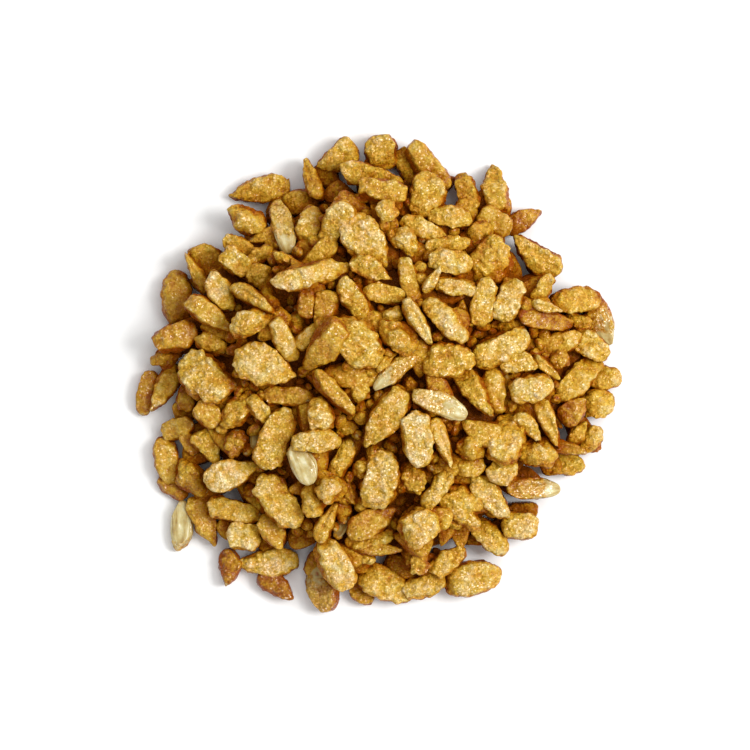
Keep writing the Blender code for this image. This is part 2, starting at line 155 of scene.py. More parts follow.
# The top layer, lowest seed first:
# (east mm, north mm, degrees from east to the tip, length mm, width mm, look)
TOP_SEEDS = [
    (-42, -23, -35, 7, 3.5, AMBER_OVAL), (-35, 22.5, -10, 8.5, 6.5, GOLDEN_OVAL),
    (-41, 15, 95, 11, 6.5, OCHRE_OVAL), (-37, 20, 120, 9.5, 3, EDGE), (-32, 16, -60, 9, 5, GOLDEN_OVAL),
    (-29, 22, -35, 7, 5, GOLDEN_OVAL), (-28, 25, -25, 8.5, 4, GOLDEN_OVAL),
    (-27, 30.5, -30, 8.5, 6, NUGGET), (-24.5, 36.5, -168, 12, 5.5, GOLDEN),
    (-24, 23.5, 25, 5.5, 3.5, NUGGET), (-19.5, 22.5, -35, 5, 3, AMBER_NUGGET),
    (-19.5, 29, -78, 12.5, 5, HALF), (-24, 19, -50, 7, 5, PALE_NUGGET), (-25, 14.5, -32, 11, 3.5, EDGE),
    (-17.5, 18.5, -170, 9.5, 5.5, GOLDEN), (-11, 20, 12, 10.5, 5, GOLDEN),
    (-9, 43, -153, 9, 6.5, SUGARED), (-14, 38.5, 108, 10, 3.5, AMBER_EDGE),
    (5, 41, -68, 8.5, 4, GOLDEN_OVAL), (0, 44, -80, 7.5, 7, SUGARED_OVAL),
    (9, 41, -52, 12, 5.5, OCHRE_OVAL), (-2, 39, -14, 13.5, 5, GOLDEN_OVAL),
    (0, 36, -8, 10, 5, GOLDEN_OVAL), (9, 35, 80, 9.5, 7.5, BROAD_OVAL), (1, 32, 90, 5, 4.5, NUGGET),
    (13.5, 31, -3, 9, 4.5, GOLDEN_OVAL), (-14.5, 29.5, 70, 8, 5, OCHRE_OVAL),
    (-5.5, 31.5, -45, 10.5, 6, OCHRE_OVAL), (-9.5, 28.5, -120, 13, 6, GOLDEN),
    (-3, 26, -50, 12.5, 8, BROAD), (4.5, 26, -50, 7, 5, PALE_NUGGET), (8.5, 28.5, -20, 10.5, 4, GOLDEN),
    (-2, 20.5, -28, 9, 4.5, SUGARED), (5.5, 18, -75, 10, 4, OCHRE_OVAL),
    (13, 25.5, 5, 9, 3.5, SUGARED_OVAL), (13.5, 22, -5, 9, 5, SUGARED_OVAL),
    (10, 18.5, 60, 6.5, 2.5, EDGE), (-5.5, 14.5, -58, 9.5, 5, GOLDEN_OVAL),
    (17, 36, 110, 9, 4.5, GOLDEN_OVAL), (22.5, 37, 97, 11, 5.5, GOLDEN), (28, 30.5, 30, 9, 4.5, OCHRE),
    (22.5, 30, -32, 7.5, 5.5, OCHRE_OVAL), (30.5, 23.5, 140, 12, 6, GOLDEN),
    (19, 27.5, 20, 7, 5, PALE_NUGGET), (21, 21.5, 40, 11.5, 9, CLUMP),
    (32, 16.5, 60, 7, 3.5, SUGARED_OVAL), (38.5, 14.5, 10, 11.5, 5.5, GOLDEN_OVAL),
    (43.5, 10.5, -68, 11, 5.5, HALF), (32.5, 10.5, -10, 12.5, 4, AMBER_OVAL),
    (32.5, 13, -12, 6.5, 2.5, EDGE), (39, 10, -20, 6, 4, SUGARED_OVAL),
    (20, 14, 80, 10, 5, GOLDEN_OVAL), (25, 14.5, 65, 9, 6, GOLDEN_OVAL), (13, 15, 10, 8, 3, AMBER),
    (14.5, 17, -10, 8.5, 4, GOLDEN_OVAL), (12.5, 10.5, -45, 11.5, 5, GOLDEN_OVAL),
    (7, 10, -60, 10.5, 3.5, EDGE), (1.5, 15.5, -10, 11, 4, SUGARED), (2, 11, 20, 5, 4, NUGGET),
    (-11, 13, 80, 7, 5.5, OCHRE_OVAL), (-15, 14, 88, 7, 3.5, AMBER_OVAL),
    (-26, 10, 15, 8.5, 5.5, NUGGET), (-34, 11.5, -35, 11, 5, OCHRE), (-43, 3, 10, 7, 4.5, AMBER_NUGGET),
    (-41, 7, 20, 9, 6, AMBER_OVAL), (-34, 6, -25, 7, 5, NUGGET),
    (-19.5, 6.5, -65, 9.5, 4.5, OCHRE_OVAL), (-14.5, 7.5, 50, 7, 3.5, EDGE),
    (-28.5, 5, 15, 5, 3, AMBER_NUGGET), (-39, -5, 80, 5.5, 4, OCHRE_OVAL),
    (-47, -4, -100, 9, 4.5, AMBER_OVAL), (-43.5, -3, -120, 11, 5, GOLDEN),
    (-35, -1, -45, 12, 9, PALE_BROAD_OVAL), (-23, 1.5, -17, 13, 8, PALE_BROAD),
    (-6, -0.5, 5, 12.5, 5.5, OCHRE_OVAL), (3, 7, -20, 9, 6.5, PALE_NUGGET),
    (1, 2.5, 45, 7, 2, AMBER_EDGE), (-5, 6, -40, 12, 8.5, PALE_BROAD_OVAL),
    (-11.5, 5, -132, 13, 6.5, OCHRE), (2.5, 0.5, -138, 11.5, 4, HALF),
    (13, 2.5, 3, 11, 7, PALE_BROAD_OVAL), (25, 9.5, 0, 7, 3.5, NUGGET),
    (23.5, 5, 25, 12.5, 6.5, GOLDEN_OVAL), (27.5, 2, -10, 8, 5.5, SUGARED),
    (41.5, 5.5, -35, 9, 5.5, GOLDEN_OVAL), (34.5, 5.5, 25, 11, 5, GOLDEN_OVAL),
    (35, 2.5, 50, 5, 4, AMBER_NUGGET), (32.5, 1, -40, 7, 2.5, AMBER_EDGE),
    (44.5, -1, -5, 7, 5, GOLDEN_OVAL), (39, -1, 45, 12.5, 6, GOLDEN_OVAL),
    (43, -6, 15, 7, 6.5, SUGARED_OVAL), (38, -7.5, 50, 7, 5, OCHRE), (33, -10, -65, 11, 4, AMBER_EDGE),
    (41.5, -13.5, 50, 6.5, 5.5, NUGGET), (39, -12, 55, 5.5, 3.5, GOLDEN),
    (37, -18, -10, 7, 5, GOLDEN_OVAL), (37, -15, -10, 8, 3, AMBER_EDGE), (30.5, -16, 20, 8, 7, NUGGET),
    (30, -23, 0, 12, 4.5, HALF), (27.5, -30.5, 0, 7.5, 6, GOLDEN_OVAL),
    (21.5, -24.5, -48, 11, 5, SUGARED_OVAL), (21.5, -32.5, -42, 9.5, 5, GOLDEN_OVAL),
    (24, -19, 60, 6.5, 6, GOLDEN_OVAL), (17.5, -18.5, 15, 6, 4.5, OCHRE_OVAL),
    (17.5, -15, 10, 6, 5, NUGGET), (29, -10.5, -50, 7.5, 4, SUGARED),
    (24.5, -13, 70, 11, 7.5, PALE_BROAD_OVAL), (29.5, -3, 10, 9, 6, GOLDEN_OVAL),
    (22, -3.5, 95, 9, 5, OCHRE_OVAL), (11.5, -6, -25, 12, 5, HALF), (18.5, -4, -55, 12, 5, SUGARED),
    (12, -14, -70, 11, 3.5, EDGE), (7, -13, -80, 11, 6.5, SUGARED_OVAL),
    (0.5, -9, -125, 13.5, 7, GOLDEN), (-5, -4, 30, 6, 4.5, NUGGET),
    (-9.5, -4, -45, 12, 3.5, AMBER_EDGE), (-12, -8, 90, 7, 6, NUGGET), (-7, -11, 10, 5, 3, NUGGET),
    (-15.5, -18, -70, 9, 5.5, BARE), (-13, -13.5, 5, 10, 5, SUGARED_OVAL),
    (-8, -17.5, 65, 9, 4, SUGARED_OVAL), (-6.5, -23, -70, 7, 3.5, AMBER_NUGGET),
    (-4, -19, 40, 4, 3.5, NUGGET), (-0.5, -21, 75, 12, 8, PALE_BROAD_OVAL),
    (6, -20.5, -70, 7, 5, AMBER_NUGGET), (16, -26, -30, 10.5, 8, CLUMP),
    (11, -23, 55, 10, 4, SUGARED_OVAL), (7.5, -30.5, 30, 8.5, 7, PALE_BROAD_OVAL),
    (-1, -35, -5, 10, 3, AMBER_EDGE), (-2.5, -33, 10, 10, 3.5, GOLDEN_OVAL),
    (-2, -29.5, 30, 11, 5.5, OCHRE), (-3, -37, 10, 3.5, 2.5, PALE_NUGGET),
    (-21.5, -31.5, -60, 8, 5, OCHRE), (-20.5, -25.5, -50, 12.5, 7, BROAD_OVAL),
    (-30, -20, 20, 11, 6, GOLDEN), (-35.5, -29.5, -65, 11, 5, OCHRE),
    (-29.5, -27.5, -12, 11, 5, GOLDEN_OVAL), (-38, -21, -60, 9, 6.5, AMBER_NUGGET),
    (-43, -17.5, -80, 10, 5, OCHRE_OVAL), (-38.5, -14, -60, 5.5, 3, AMBER_OVAL),
    (-40.5, -11, 20, 7.5, 4.5, OCHRE_OVAL), (-34.5, -15, -60, 8.5, 5, GOLDEN),
    (-29, -14, 90, 6, 5, AMBER_NUGGET), (-25, -13.5, 90, 5, 3, BARE),
    (-21, -13, 70, 13, 7, SUGARED_OVAL), (-28.5, -7.5, 60, 9, 5.5, AMBER_NUGGET),
    (-34.5, -8, -50, 6, 5, AMBER_OVAL), (-18.5, -4.5, 0, 10, 4, OCHRE_OVAL),
    (-24.5, -7, -50, 6.5, 3.5, GOLDEN_OVAL), (-40, -30.5, 88, 10.5, 5, BARE),
    (-27.5, -32.5, 0, 7, 6, GOLDEN_OVAL), (-30.5, -39, -100, 7.5, 5, TOASTED),
    (-21, -42.5, -40, 8.5, 5, TOASTED), (-23, -38, -175, 13, 5.5, GOLDEN),
    (-12, -42.5, 98, 11, 6.5, HALF), (-9.5, -38, -60, 11.5, 6.5, GOLDEN_OVAL),
    (-11, -29.5, 65, 9, 3.5, EDGE), (-8, -30.5, 60, 5.5, 3, BARE), (-4, -44, -40, 6, 4, OCHRE_OVAL),
    (0.5, -42, -25, 13, 6.5, GOLDEN_OVAL), (8.5, -42.5, 20, 9, 5, GOLDEN_OVAL),
    (7.5, -37.5, 70, 5, 4, NUGGET), (13, -37.5, 35, 9, 4.5, GOLDEN_OVAL),
    (18, -41, 10, 12, 7, GOLDEN_OVAL), (-14, -25, -70, 7.5, 5, NUGGET), (-10.5, -23, 60, 6, 5, NUGGET),
]


# ---- laying the seeds


def turn_matrix(heading, pitch, roll):
    """The turn that takes a seed's own axes (tip, side, up) to the heap's."""
    return (
        Matrix.Rotation(math.radians(heading), 3, "Z")
        @ Matrix.Rotation(math.radians(-pitch), 3, "Y")
        @ Matrix.Rotation(math.radians(roll), 3, "X")
    )


def toward(angle, reach):
    """The place in a direction, in degrees from east, at this distance from the heap's middle."""
    return reach * math.cos(math.radians(angle)), reach * math.sin(math.radians(angle))


def cells_of(east, north):
    """The grid's cells in which these places lie."""
    return tuple(((np.asarray(part) + GRID_HALF) / GRID_STEP).astype(int) for part in (east, north))


def ground_height(reach):
    """The height of the ground's dome at a distance from its middle, in mm."""
    return GROUND_HEIGHT * np.clip(1 - (reach / GROUND_RADIUS) ** 2, 0, None) ** GROUND_FULLNESS


def evened_out(surface):
    """A grid of heights, averaged along both its directions."""
    shifts = range(-BLUR_STEPS, BLUR_STEPS + 1)
    for axis in (0, 1):
        surface = sum(np.roll(surface, shift, axis) for shift in shifts) / len(shifts)
    return surface


def skins(turn, half_sizes, east, north):
    """Lowest and highest surface of an ellipsoid at places round its middle, NaN beside it."""
    axes = np.array(turn)
    form = axes @ np.diag(1 / np.square(half_sizes)) @ axes.T
    lean = form[0, 2] * east + form[1, 2] * north
    across = form[0, 0] * east**2 + 2 * form[0, 1] * east * north + form[1, 1] * north**2
    inside = lean**2 - form[2, 2] * (across - 1)
    root = np.sqrt(np.where(inside > 0, inside, np.nan))
    return (-lean - root) / form[2, 2], (-lean + root) / form[2, 2]


class Heap:
    """The heap's surface while it grows, as a grid of heights."""

    def __init__(self):
        steps = np.arange(-GRID_HALF, GRID_HALF, GRID_STEP)
        self.east, self.north = np.meshgrid(steps, steps, indexing="ij")
        self.height = ground_height(np.hypot(self.east, self.north))

    def settle(self, east, north, heading, half_sizes):
        """How a seed comes to lie over a place: the lowest and most level of its ways to lie."""
        reach = max(half_sizes)
        first_east, first_north = cells_of(east - reach, north - reach)
        cells = int(2 * reach / GRID_STEP) + 2
        window = np.s_[first_east : first_east + cells, first_north : first_north + cells]
        ground = self.height[window]
        places = (self.east[window] - east, self.north[window] - north)
        choices = []
        for pitch in PITCHES:
            for roll in ROLLS:
                turn = turn_matrix(heading, pitch, roll)
                low, high = skins(turn, half_sizes, *places)
                lifts = (ground - low)[~np.isnan(low)]
                middle = np.quantile(lifts, CLEAR_SHARE) - SINK
                middle = max(middle, -np.nanmin(low) - TABLE_CUT)
                cost = middle + PITCH_COST * abs(pitch) + ROLL_COST * abs(roll)
                choices.append((cost, len(choices), middle, turn, low, high))
        _, _, middle, turn, low, high = min(choices)
        shared = np.where(ground > 0, ground - low - middle, 0)
        overlap = np.nansum(np.clip(shared, 0, None)) * GRID_STEP**2
        return window, middle, turn, high + middle, overlap

    def drop(self, east, north, heading, size, in_bed):
        """Adds a seed and returns its middle and turn. A loose one of the bed moves in first."""
        half_sizes = [0.5 * side for side in size]
        lies = self.settle(east, north, heading, half_sizes)
        for _ in range(MOST_PUSHES):
            if not in_bed or lies[-1] >= TOUCH:
                break
            reach = math.hypot(east, north)
            east -= PUSH * east / reach
            north -= PUSH * north / reach
            lies = self.settle(east, north, heading, half_sizes)
        window, middle, turn, surface, _ = lies
        self.height[window] = np.fmax(self.height[window], surface)
        return (east, north, middle), turn


def edge_of_bed(angle):
    """How far the bed reaches in a direction, in mm."""
    reach = BED_RADIUS
    for bay in BAYS:
        away = (angle - bay + 180) % 360 - 180
        reach -= BAY_DEPTH * math.exp(-((away / BAY_WIDTH) ** 2))
    return reach


def bed_seeds():
    """The seeds under the top layer, spread evenly along a golden spiral, outermost first."""
    chance = np.random.default_rng(CHANCE_SEED)
    for number in reversed(range(BED_COUNT)):
        angle = number * GOLDEN_ANGLE + chance.normal(0, ANGLE_SPREAD)
        reach = edge_of_bed(angle) * math.sqrt((number + 0.5) / BED_COUNT)
        reach += chance.normal(0, REACH_SPREAD)
        heading = chance.uniform(0, 360)
        length = chance.uniform(*BED_LENGTH)
        width = chance.uniform(*BED_WIDTH)
        yield *toward(angle, reach), heading, length, width, OCHRE


Seed = namedtuple("Seed", "look size middle turn")


def lay_seeds():
    """The bed's seeds and the top layer's, as they lie, and the heap's surface."""
    heap = Heap()
    laid = []
    for east, north, heading, length, width, look in [*bed_seeds(), *TOP_SEEDS]:
        size = (length, width, look.height * width)
        lies = heap.drop(east, north, heading, size, in_bed=len(laid) < BED_COUNT)
        laid.append(Seed(look, size, *lies))
    return laid[:BED_COUNT], laid[BED_COUNT:], heap.height


def crumbs(surface):
    """Broken bits of crust in the gaps between the seeds, along a spiral of their own."""
    chance = np.random.default_rng(CHANCE_SEED)
    level = evened_out(surface)
    stuck = []
    for number in range(CRUMB_PLACES):
        angle = number * GOLDEN_ANGLE
        share = math.sqrt((number + 0.5) / CRUMB_PLACES)
        east, north = toward(angle, (edge_of_bed(angle) - CRUMB_MARGIN) * share)
        cell = cells_of(east, north)
        if surface[cell] > level[cell] - GAP_DEPTH:
            continue
        length = chance.uniform(*CRUMB_LENGTH)
        width = CRUMB_WIDTH * length
        size = (length, width, CRUMB.height * width)
        up = max(surface[cell] + CRUMB_RISE * length, CRUMB_LOWEST * length)
        turn = turn_matrix(*chance.uniform(0, 360, 3))
        stuck.append(Seed(CRUMB, size, (east, north, up), turn))
    return stuck


# ---- the forms of single seeds

# A form is a ball, whose points "out" lie in all directions, brought into the shape of a seed that
# fills the box from -1 to 1, with its tip at +X. Pairs are ranges that each form draws from.
FORM_COUNT = 12  # different shapes of each form: drops first, then as many ovals
FINE = 17  # cuts along a side of the cube that a seed of the top layer is made from
COARSE = 7  # the same for the bed and the crumbs
NUGGET_CUTS = 16
CLUMP_CUTS = 27  # also for the broadest seeds
RIM_FROM = 0.7  # how far up a form's side its rim reaches, from 0 at its waist to 1 on top
WAVE_COUNT = 5  # slow waves that make a form uneven
WAVE_SPREAD = 2.2  # how quickly those rise and fall
CHIP_LEAN = 0.5  # how far chips turn from a form's sides to its top and bottom
CHIP_FROM = (0.70, 0.90)  # share of the form's reach past which a chip is taken off
CHIP_SHARE = 0.8  # of what lies past that

SQUARENESS = (0.46, 0.64)  # power of a kernel's cross-section: 1 is an ellipse, 0 a rectangle
BLUNT_END = (0.26, 0.38)  # powers of its outline from above, at its blunt end
OVAL_TIP = (0.30, 0.44)  # at the tip of an oval
DROP_TIP = (0.74, 1.02)  # and at that of a drop
BLUNT_SIDE = 0.24  # the same powers from the side
SIDE_TIP = (0.26, 0.40)
BEND = 0.06  # how far it is bent sideways, usually
ARCH = 0.10  # and up or down
HOLLOW_DEPTH = (0, 0.16)  # of its top
HOLLOW_LENGTH = 0.6
HOLLOW_WIDTH = 0.55
RIB_HEIGHT = 0.02
RIB_COUNT = 9
RIB_TWIST = 2  # radians over half the kernel
GROOVE_DEPTH = 0.14
GROOVE_LENGTH = 0.55
GROOVE_WIDTH = 0.12
KNOB_REACH = (0.30, 0.46)  # of the middle of a nugget's knob
KNOB_SIZE = (0.48, 0.62)
CLUMPED_SIDE = 0.34  # how far a clump's kernels lie from its middle
CLUMPED_WIDTH = (0.46, 0.60)


def ball(cuts):
    """A cube cut into a grid and blown up to a ball of radius 1."""
    shape = bmesh.new()
    bmesh.ops.create_cube(shape, size=2)
    bmesh.ops.subdivide_edges(shape, edges=shape.edges, cuts=cuts, use_grid_fill=True)
    for vertex in shape.verts:
        vertex.co = Vector([math.tan(part * math.pi / 4) for part in vertex.co]).normalized()
    return shape


def off_axis(out):
    """How far each point is from the form's long axis, but never quite 0."""
    return np.maximum(np.hypot(out[:, 1], out[:, 2]), 1e-6)


def around_axis(out):
    """The angle of each point about the form's long axis."""
    return np.arctan2(out[:, 2], out[:, 1])


def rim_of(out):
    """How near each point is to a form's rim: 0 on its flat faces, 1 where those meet."""
    lean = abs(out[:, 2]) / off_axis(out)
    return np.clip((RIM_FROM - lean) / RIM_FROM, 0, 1)


def to_box(points):
    """Moves and stretches a form to fill the box from -1 to 1."""
    low, high = points.min(axis=0), points.max(axis=0)
    return (points - (low + high) / 2) / ((high - low) / 2)


def uneven(out, chance, strength):
    """Slow waves over the directions of a ball, as a factor near 1."""
    waves = chance.normal(0, WAVE_SPREAD, (WAVE_COUNT, 3))
    phases = chance.uniform(0, 2 * math.pi, WAVE_COUNT)
    return 1 + strength * np.sin(out @ waves.T + phases).mean(axis=1)


def chipped(points, chance, count):
    """Flat places on a form's sides, where a neighbour or a break has taken off its roundness."""
    for _ in range(count):
        direction = np.append(chance.normal(0, 1, 2), chance.normal(0, CHIP_LEAN))
        direction /= np.linalg.norm(direction)
        reach = points @ direction
        over = np.clip(reach - chance.uniform(*CHIP_FROM) * reach.max(), 0, None)
        points = points - np.outer(CHIP_SHARE * over, direction)
    return points


def girth(along, blunt, tip):
    """How thick a kernel is from its blunt end (-1) to its tip (1), with 1 as its largest value."""
    thickness = np.clip(1 + along, 0, None) ** blunt * np.clip(1 - along, 0, None) ** tip
    widest = (tip - blunt) / -(tip + blunt)
    return thickness / ((1 + widest) ** blunt * (1 - widest) ** tip)


def kernel(out, chance, oval, waves=0.12, chips=4):
    """A flat-topped seed with full shoulders and a steep rim, a little bent and hollowed."""
    along = out[:, 0]
    side, up = (out[:, 1:] / off_axis(out)[:, None]).T
    square = chance.uniform(*SQUARENESS)
    tip = chance.uniform(*(OVAL_TIP if oval else DROP_TIP))
    wide = np.sign(side) * abs(side) ** square * girth(along, chance.uniform(*BLUNT_END), tip)
    high = np.sign(up) * abs(up) ** square * girth(along, BLUNT_SIDE, chance.uniform(*SIDE_TIP))
    wide += chance.normal(0, BEND) * along**2
    high += chance.normal(0, ARCH) * along**2
    middle = np.exp(-((along / HOLLOW_LENGTH) ** 2) - (wide / HOLLOW_WIDTH) ** 2)
    high -= np.where(up > 0, chance.uniform(*HOLLOW_DEPTH) * middle, 0)
    bumpy = uneven(out, chance, waves)
    points = to_box(np.stack([along, wide * bumpy, high * bumpy], axis=1))
    return to_box(chipped(points, chance, chips))


def kernel_on_edge(out, chance, oval, depth=0.16, width=0.16, aside=0.15):
    """A kernel standing on its narrow side, with the seam of its two halves on top."""
    along, wide, high = kernel(out, chance, oval, waves=0.10).T
    seam = np.exp(-(((wide - aside) / width) ** 2)) * (1 - along**2)
    high -= np.where(high > 0, depth * seam, 0)
    return to_box(np.stack([along, wide, high], axis=1))


def bare_kernel(out, chance, oval):
    """A smooth kernel, with faint ribs and a groove along it."""
    points = kernel(out, chance, oval, waves=0.06)
    along = out[:, 0]
    ribs = RIB_HEIGHT * np.sin(RIB_COUNT * around_axis(out) + RIB_TWIST * along) * (1 - along**2)
    points[:, 1:] *= 1 + ribs[:, None]
    across = points[:, 1] / GROOVE_WIDTH
    groove = np.exp(-(across**2) - (points[:, 0] / GROOVE_LENGTH) ** 4)
    points[:, 2] -= np.where(points[:, 2] > 0, GROOVE_DEPTH * groove, 0)
    return to_box(points)


def lobed(out, lobes, crease):
    """Ellipsoids (centre, half sizes, turn) grown together, and parted more by a higher crease."""
    reach = 0
    for centre, half_sizes, heading in lobes:
        inward = np.diag(1 / np.array(half_sizes)) @ np.array(Matrix.Rotation(heading, 3, "Z")).T
        ray = out @ inward.T
        start = inward @ np.array(centre)
        slope = (ray**2).sum(axis=1)
        lean = ray @ start
        reach = reach + ((lean + np.sqrt(lean**2 - slope * (start @ start - 1))) / slope) ** crease
    return out * (reach ** (1 / crease))[:, None]


def nugget(out, chance, oval, crease=10, waves=0.14, chips=3):
    """A short broken kernel under a knobbly crust."""
    lobes = [((0, 0, 0), (0.8, 0.66, 0.6), chance.uniform(-0.5, 0.5))]
    for _ in range(3 if oval else 6):
        centre = chance.normal(0, 1, 3)
        centre *= chance.uniform(*KNOB_REACH) / np.linalg.norm(centre)
        lobes.append((centre, chance.uniform(*KNOB_SIZE, 3), chance.uniform(0, 3)))
    points = lobed(out, lobes, crease)
    points = to_box(points * uneven(out, chance, waves)[:, None])
    return to_box(chipped(points, chance, chips))


def clump(out, chance, _, crease=7, waves=0.16):
    """Three kernels stuck together: two side by side, and one on top of them."""
    lobes = []
    for side in (-1, 1):
        centre = (chance.uniform(-0.2, 0.2), CLUMPED_SIDE * side, chance.uniform(-0.1, 0.1))
        half_sizes = (0.92, chance.uniform(*CLUMPED_WIDTH), 0.6)
        lobes.append((centre, half_sizes, 0.2 * side + chance.normal(0, 0.12)))
    lobes.append(((chance.uniform(-0.2, 0.2), 0, 0.3), (0.8, 0.5, 0.5), chance.uniform(-0.7, 0.7)))
    points = lobed(out, lobes, crease)
    return to_box(points * uneven(out, chance, waves)[:, None])


def add_attribute(mesh, name, values, kind="FLOAT"):
    attribute = mesh.attributes.new(name, kind, "POINT")
    field = "vector" if kind == "FLOAT_VECTOR" else "value"
    number_kind = np.int32 if kind == "INT" else np.float32
    attribute.data.foreach_set(field, np.asarray(values, number_kind).ravel())


def new_object(name, data):
    """An object in the scene that holds a mesh, a light or a camera."""
    obj = bpy.data.objects.new(name, data)
    bpy.context.scene.collection.objects.link(obj)
    return obj


def form_collection(form, cuts):
    """Different shapes of one form, as meshes that fill the box from -1 to 1, in a collection."""
    name = form.__name__
    collection = bpy.data.collections.new(name)
    chance = np.random.default_rng(len(name) + CHANCE_SEED)
    for number in range(FORM_COUNT):
        shape = ball(cuts)
        mesh = bpy.data.meshes.new(f"{name}_{number}")
        shape.to_mesh(mesh)
        shape.free()
        out = np.array([vertex.co for vertex in mesh.vertices])
        mesh.vertices.foreach_set("co", form(out, chance, number >= FORM_COUNT // 2).ravel())
        add_attribute(mesh, "along", out[:, 0])
        add_attribute(mesh, "around", around_axis(out))
        add_attribute(mesh, "rim", rim_of(out))
        collection.objects.link(bpy.data.objects.new(mesh.name, mesh))
    return collection


# ---- building node trees


def wire(tree, target, value):
    """Gives an input a value, or a link where the value is another node's output."""
    if isinstance(value, bpy.types.NodeSocket):
        tree.links.new(value, target)
    else:
        target.default_value = value


def add_node(tree, kind, inputs=(), **settings):
    """Adds a node with its settings and its inputs, which are given as (name or number, value)."""
    node = tree.nodes.new(kind)
    for name, value in settings.items():
        setattr(node, name, value)
    for socket, value in inputs:
        wire(tree, node.inputs[socket], value)
    return node


def result(tree, kind, inputs=(), **settings):
    """Adds a node and returns its first output."""
    return add_node(tree, kind, inputs, **settings).outputs[0]


def calculate(tree, operation, *values):
    return result(tree, "ShaderNodeMath", enumerate(values), operation=operation)


def fitted(tree, value, factor, offset):
    """The value times a factor, plus an offset."""
    return calculate(tree, "MULTIPLY_ADD", value, factor, offset)


def vector_sum(tree, *vectors):
    return result(tree, "ShaderNodeVectorMath", enumerate(vectors), operation="ADD")


def scaled(tree, vector, factor):
    inputs = [(0, vector), ("Scale", factor)]
    return result(tree, "ShaderNodeVectorMath", inputs, operation="SCALE")


def mixed(tree, share, first, second):
    """The first colour, with this share of the second."""
    inputs = [("Factor", share), (6, first), (7, second)]
    return add_node(tree, "ShaderNodeMix", inputs, data_type="RGBA").outputs[2]


def ramped(tree, value, span, levels=(0.0, 1.0), kind="LINEAR"):
    """Goes from one level to the other while the value crosses a span, and stays there."""
    names = ("Value", "From Min", "From Max", "To Min", "To Max")
    inputs = zip(names, (value, *span, *levels))
    return result(tree, "ShaderNodeMapRange", inputs, interpolation_type=kind)


def cloudy(tree, place, scale, detail=2.0):
    """Noise from 0 to 1, with this many features to the mm."""
    inputs = [("Vector", place), ("Scale", scale), ("Detail", detail)]
    return result(tree, "ShaderNodeTexNoise", inputs)


def around_zero(tree, noise):
    """Brings noise from between 0 and 1 to about -1 to 1, since it seldom comes near its ends."""
    return fitted(tree, noise, 4.0, -2.0)


def soft_cells(tree, place, scale, softness):
    """How far each place is from its cell's middle, with soft borders, for this many to the mm."""
    inputs = [("Vector", place), ("Scale", scale), ("Smoothness", softness)]
    return add_node(tree, "ShaderNodeTexVoronoi", inputs, feature="SMOOTH_F1").outputs["Distance"]


# ---- the sugar crust, as geometry

CRUST_INPUTS = {
    "Seeds": "Geometry",
    "Forms": "Collection",
    "Material": "Material",
    "Lump Height": "Float",
    "Lump Width": "Float",
    "Knob Height": "Float",
    "Knob Width": "Float",
    "Coat Thickness": "Float",
}
CRUSTY_SCALE = 0.35  # patches with and without knobs, to the mm
CRUSTY_SPAN = (0.30, 0.58)  # the noise over which knobs come up
CRUSTY_SHARE = (0.25, 1.0)  # how high they are before and after that
COAT_REACH = 1.3  # how far from a seed's middle its coat's edge can be, over half its length
COAT_EDGE = (-0.12, 0.12)  # over which the coat ends, in the same measure
RAGGED_SCALE = 0.9  # patches that make the coat's edge ragged, to the mm
SKIN_RELIEF = 0.2  # the share of the crust's relief that is left on bare skin
KNOB_CREST = 0.6  # the share of knobs in what the material knows as crests; lumps have the rest


def read(tree, name, kind="FLOAT"):
    """A named attribute, in a geometry tree."""
    node = add_node(tree, "GeometryNodeInputNamedAttribute", [("Name", name)], data_type=kind)
    return node.outputs["Attribute"]


def forms_in_place(tree, given):
    """An instance of its form at each seed's point, turned and stretched as that says."""
    inputs = [(0, given["Forms"]), ("Separate Children", True), ("Reset Children", True)]
    forms = result(tree, "GeometryNodeCollectionInfo", inputs)
    euler = read(tree, "turn", "FLOAT_VECTOR")
    turn = result(tree, "FunctionNodeEulerToRotation", [(0, euler)])
    inputs = [
        ("Points", given["Seeds"]),
        ("Instance", forms),
        ("Pick Instance", True),
        ("Instance Index", read(tree, "form", "INT")),
        ("Rotation", turn),
        ("Scale", read(tree, "half_size", "FLOAT_VECTOR")),
    ]
    return result(tree, "GeometryNodeInstanceOnPoints", inputs)


def knobs(tree, place, given):
    """The height of the crust's knobs, around 0. They come in patches."""
    scale = calculate(tree, "DIVIDE", 1.0, given["Knob Width"])
    away = soft_cells(tree, place, scale, softness=0.35)
    knob = fitted(tree, away, -2.6, 1.1)  # heights around 0, highest in the middle
    crusty = ramped(tree, cloudy(tree, place, CRUSTY_SCALE), CRUSTY_SPAN, CRUSTY_SHARE)
    return calculate(tree, "MULTIPLY", knob, crusty)


def coat_cover(tree, place):
    """1 where a seed has its coat and 0 where it is bare, with a ragged edge between them."""
    ragged = fitted(tree, cloudy(tree, place, RAGGED_SCALE), 2 * COAT_REACH, -COAT_REACH)
    edge = fitted(tree, read(tree, "bare"), -2 * COAT_REACH, COAT_REACH)
    edge = calculate(tree, "ADD", edge, ragged)
    before_edge = calculate(tree, "SUBTRACT", edge, read(tree, "along"))
    return ramped(tree, before_edge, COAT_EDGE, kind="SMOOTHSTEP")


def crust_rise(tree, lump, knob, coat, given):
    """How far the crust stands out from a seed's form, in mm. Bare skin lies lower."""
    lump = calculate(tree, "MULTIPLY", lump, given["Lump Height"])
    knob = calculate(tree, "MULTIPLY", knob, given["Knob Height"])
    relief = calculate(tree, "ADD", lump, knob)
    relief = calculate(tree, "MULTIPLY", relief, fitted(tree, coat, 1 - SKIN_RELIEF, SKIN_RELIEF))
    lacking = calculate(tree, "SUBTRACT", coat, 1.0)
    lowered = calculate(tree, "MULTIPLY", lacking, given["Coat Thickness"])
    return calculate(tree, "ADD", relief, lowered)


